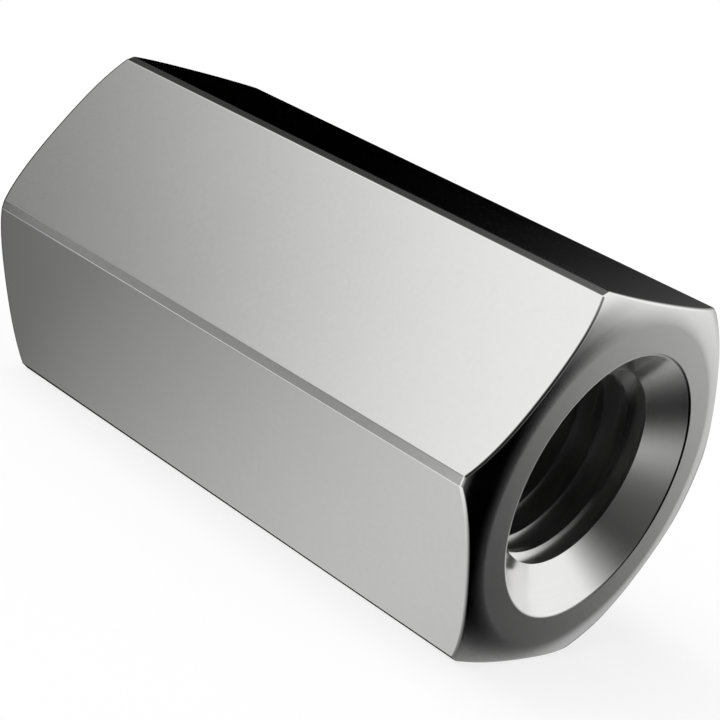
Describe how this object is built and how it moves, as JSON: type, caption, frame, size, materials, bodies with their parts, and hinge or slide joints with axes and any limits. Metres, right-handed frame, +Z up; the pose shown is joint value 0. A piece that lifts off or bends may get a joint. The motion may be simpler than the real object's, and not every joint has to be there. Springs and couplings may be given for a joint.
{
  "type": "coupling nut",
  "caption": "Long hexagon nut with a through thread, countersunk and crowned at both ends, that joins two threaded rods end to end.",
  "frame": {"origin": "on the thread's axis, half-way along the nut", "axes": "+X along the thread, +Z up out of the upper flat; the nut lies on the opposite flat"},
  "size_m": [0.024, 0.0148, 0.013],
  "materials": {
    "nut_steel": "satin machined steel with a very fine grain"
  },
  "bodies": {
    "root": {"coupling_nut": "nut_steel"}
  },
  "joints": []
}
